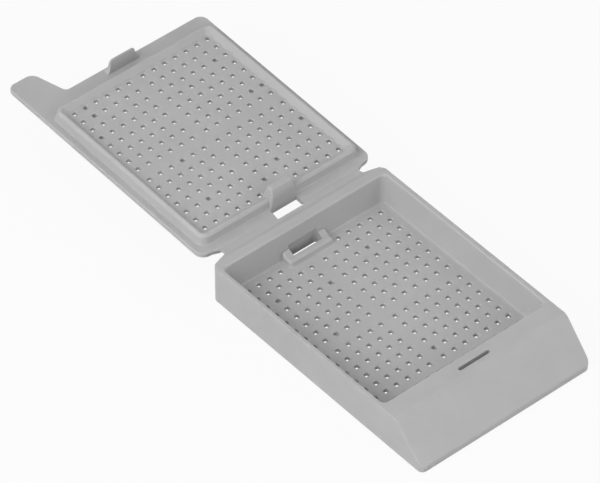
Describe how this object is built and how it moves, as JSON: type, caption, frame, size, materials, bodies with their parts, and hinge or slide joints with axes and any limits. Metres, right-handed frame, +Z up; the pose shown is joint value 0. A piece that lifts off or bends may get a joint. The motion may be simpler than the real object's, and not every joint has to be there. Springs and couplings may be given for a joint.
{
  "type": "tissue cassette",
  "caption": "Perforated plastic tissue cassette, open: shallow tray with slanted writing panel, and a thin lid with latch hook and thumb tab, joined by a thin web.",
  "frame": {"origin": "on the bench, under the middle of the open cassette as seen from above", "axes": "+X along the hinge line toward the side without the thumb tab, +Y from the tray to the opened lid, +Z up"},
  "size_m": [0.0286, 0.0804, 0.0092],
  "materials": {
    "acetal": "fine satin moulded acetal, grey"
  },
  "bodies": {
    "tray": {"tray": "acetal", "hinge_web": "acetal"},
    "lid": {"lid": "acetal"}
  },
  "joints": [
    {"name": "lid_fold", "type": "hinge", "parent": "tray", "child": "lid", "pos_m": [0, 0.00047, 0.00578], "axis": [1, 0, 0], "range_deg": [0, 130], "deforming": ["hinge_web"]}
  ]
}
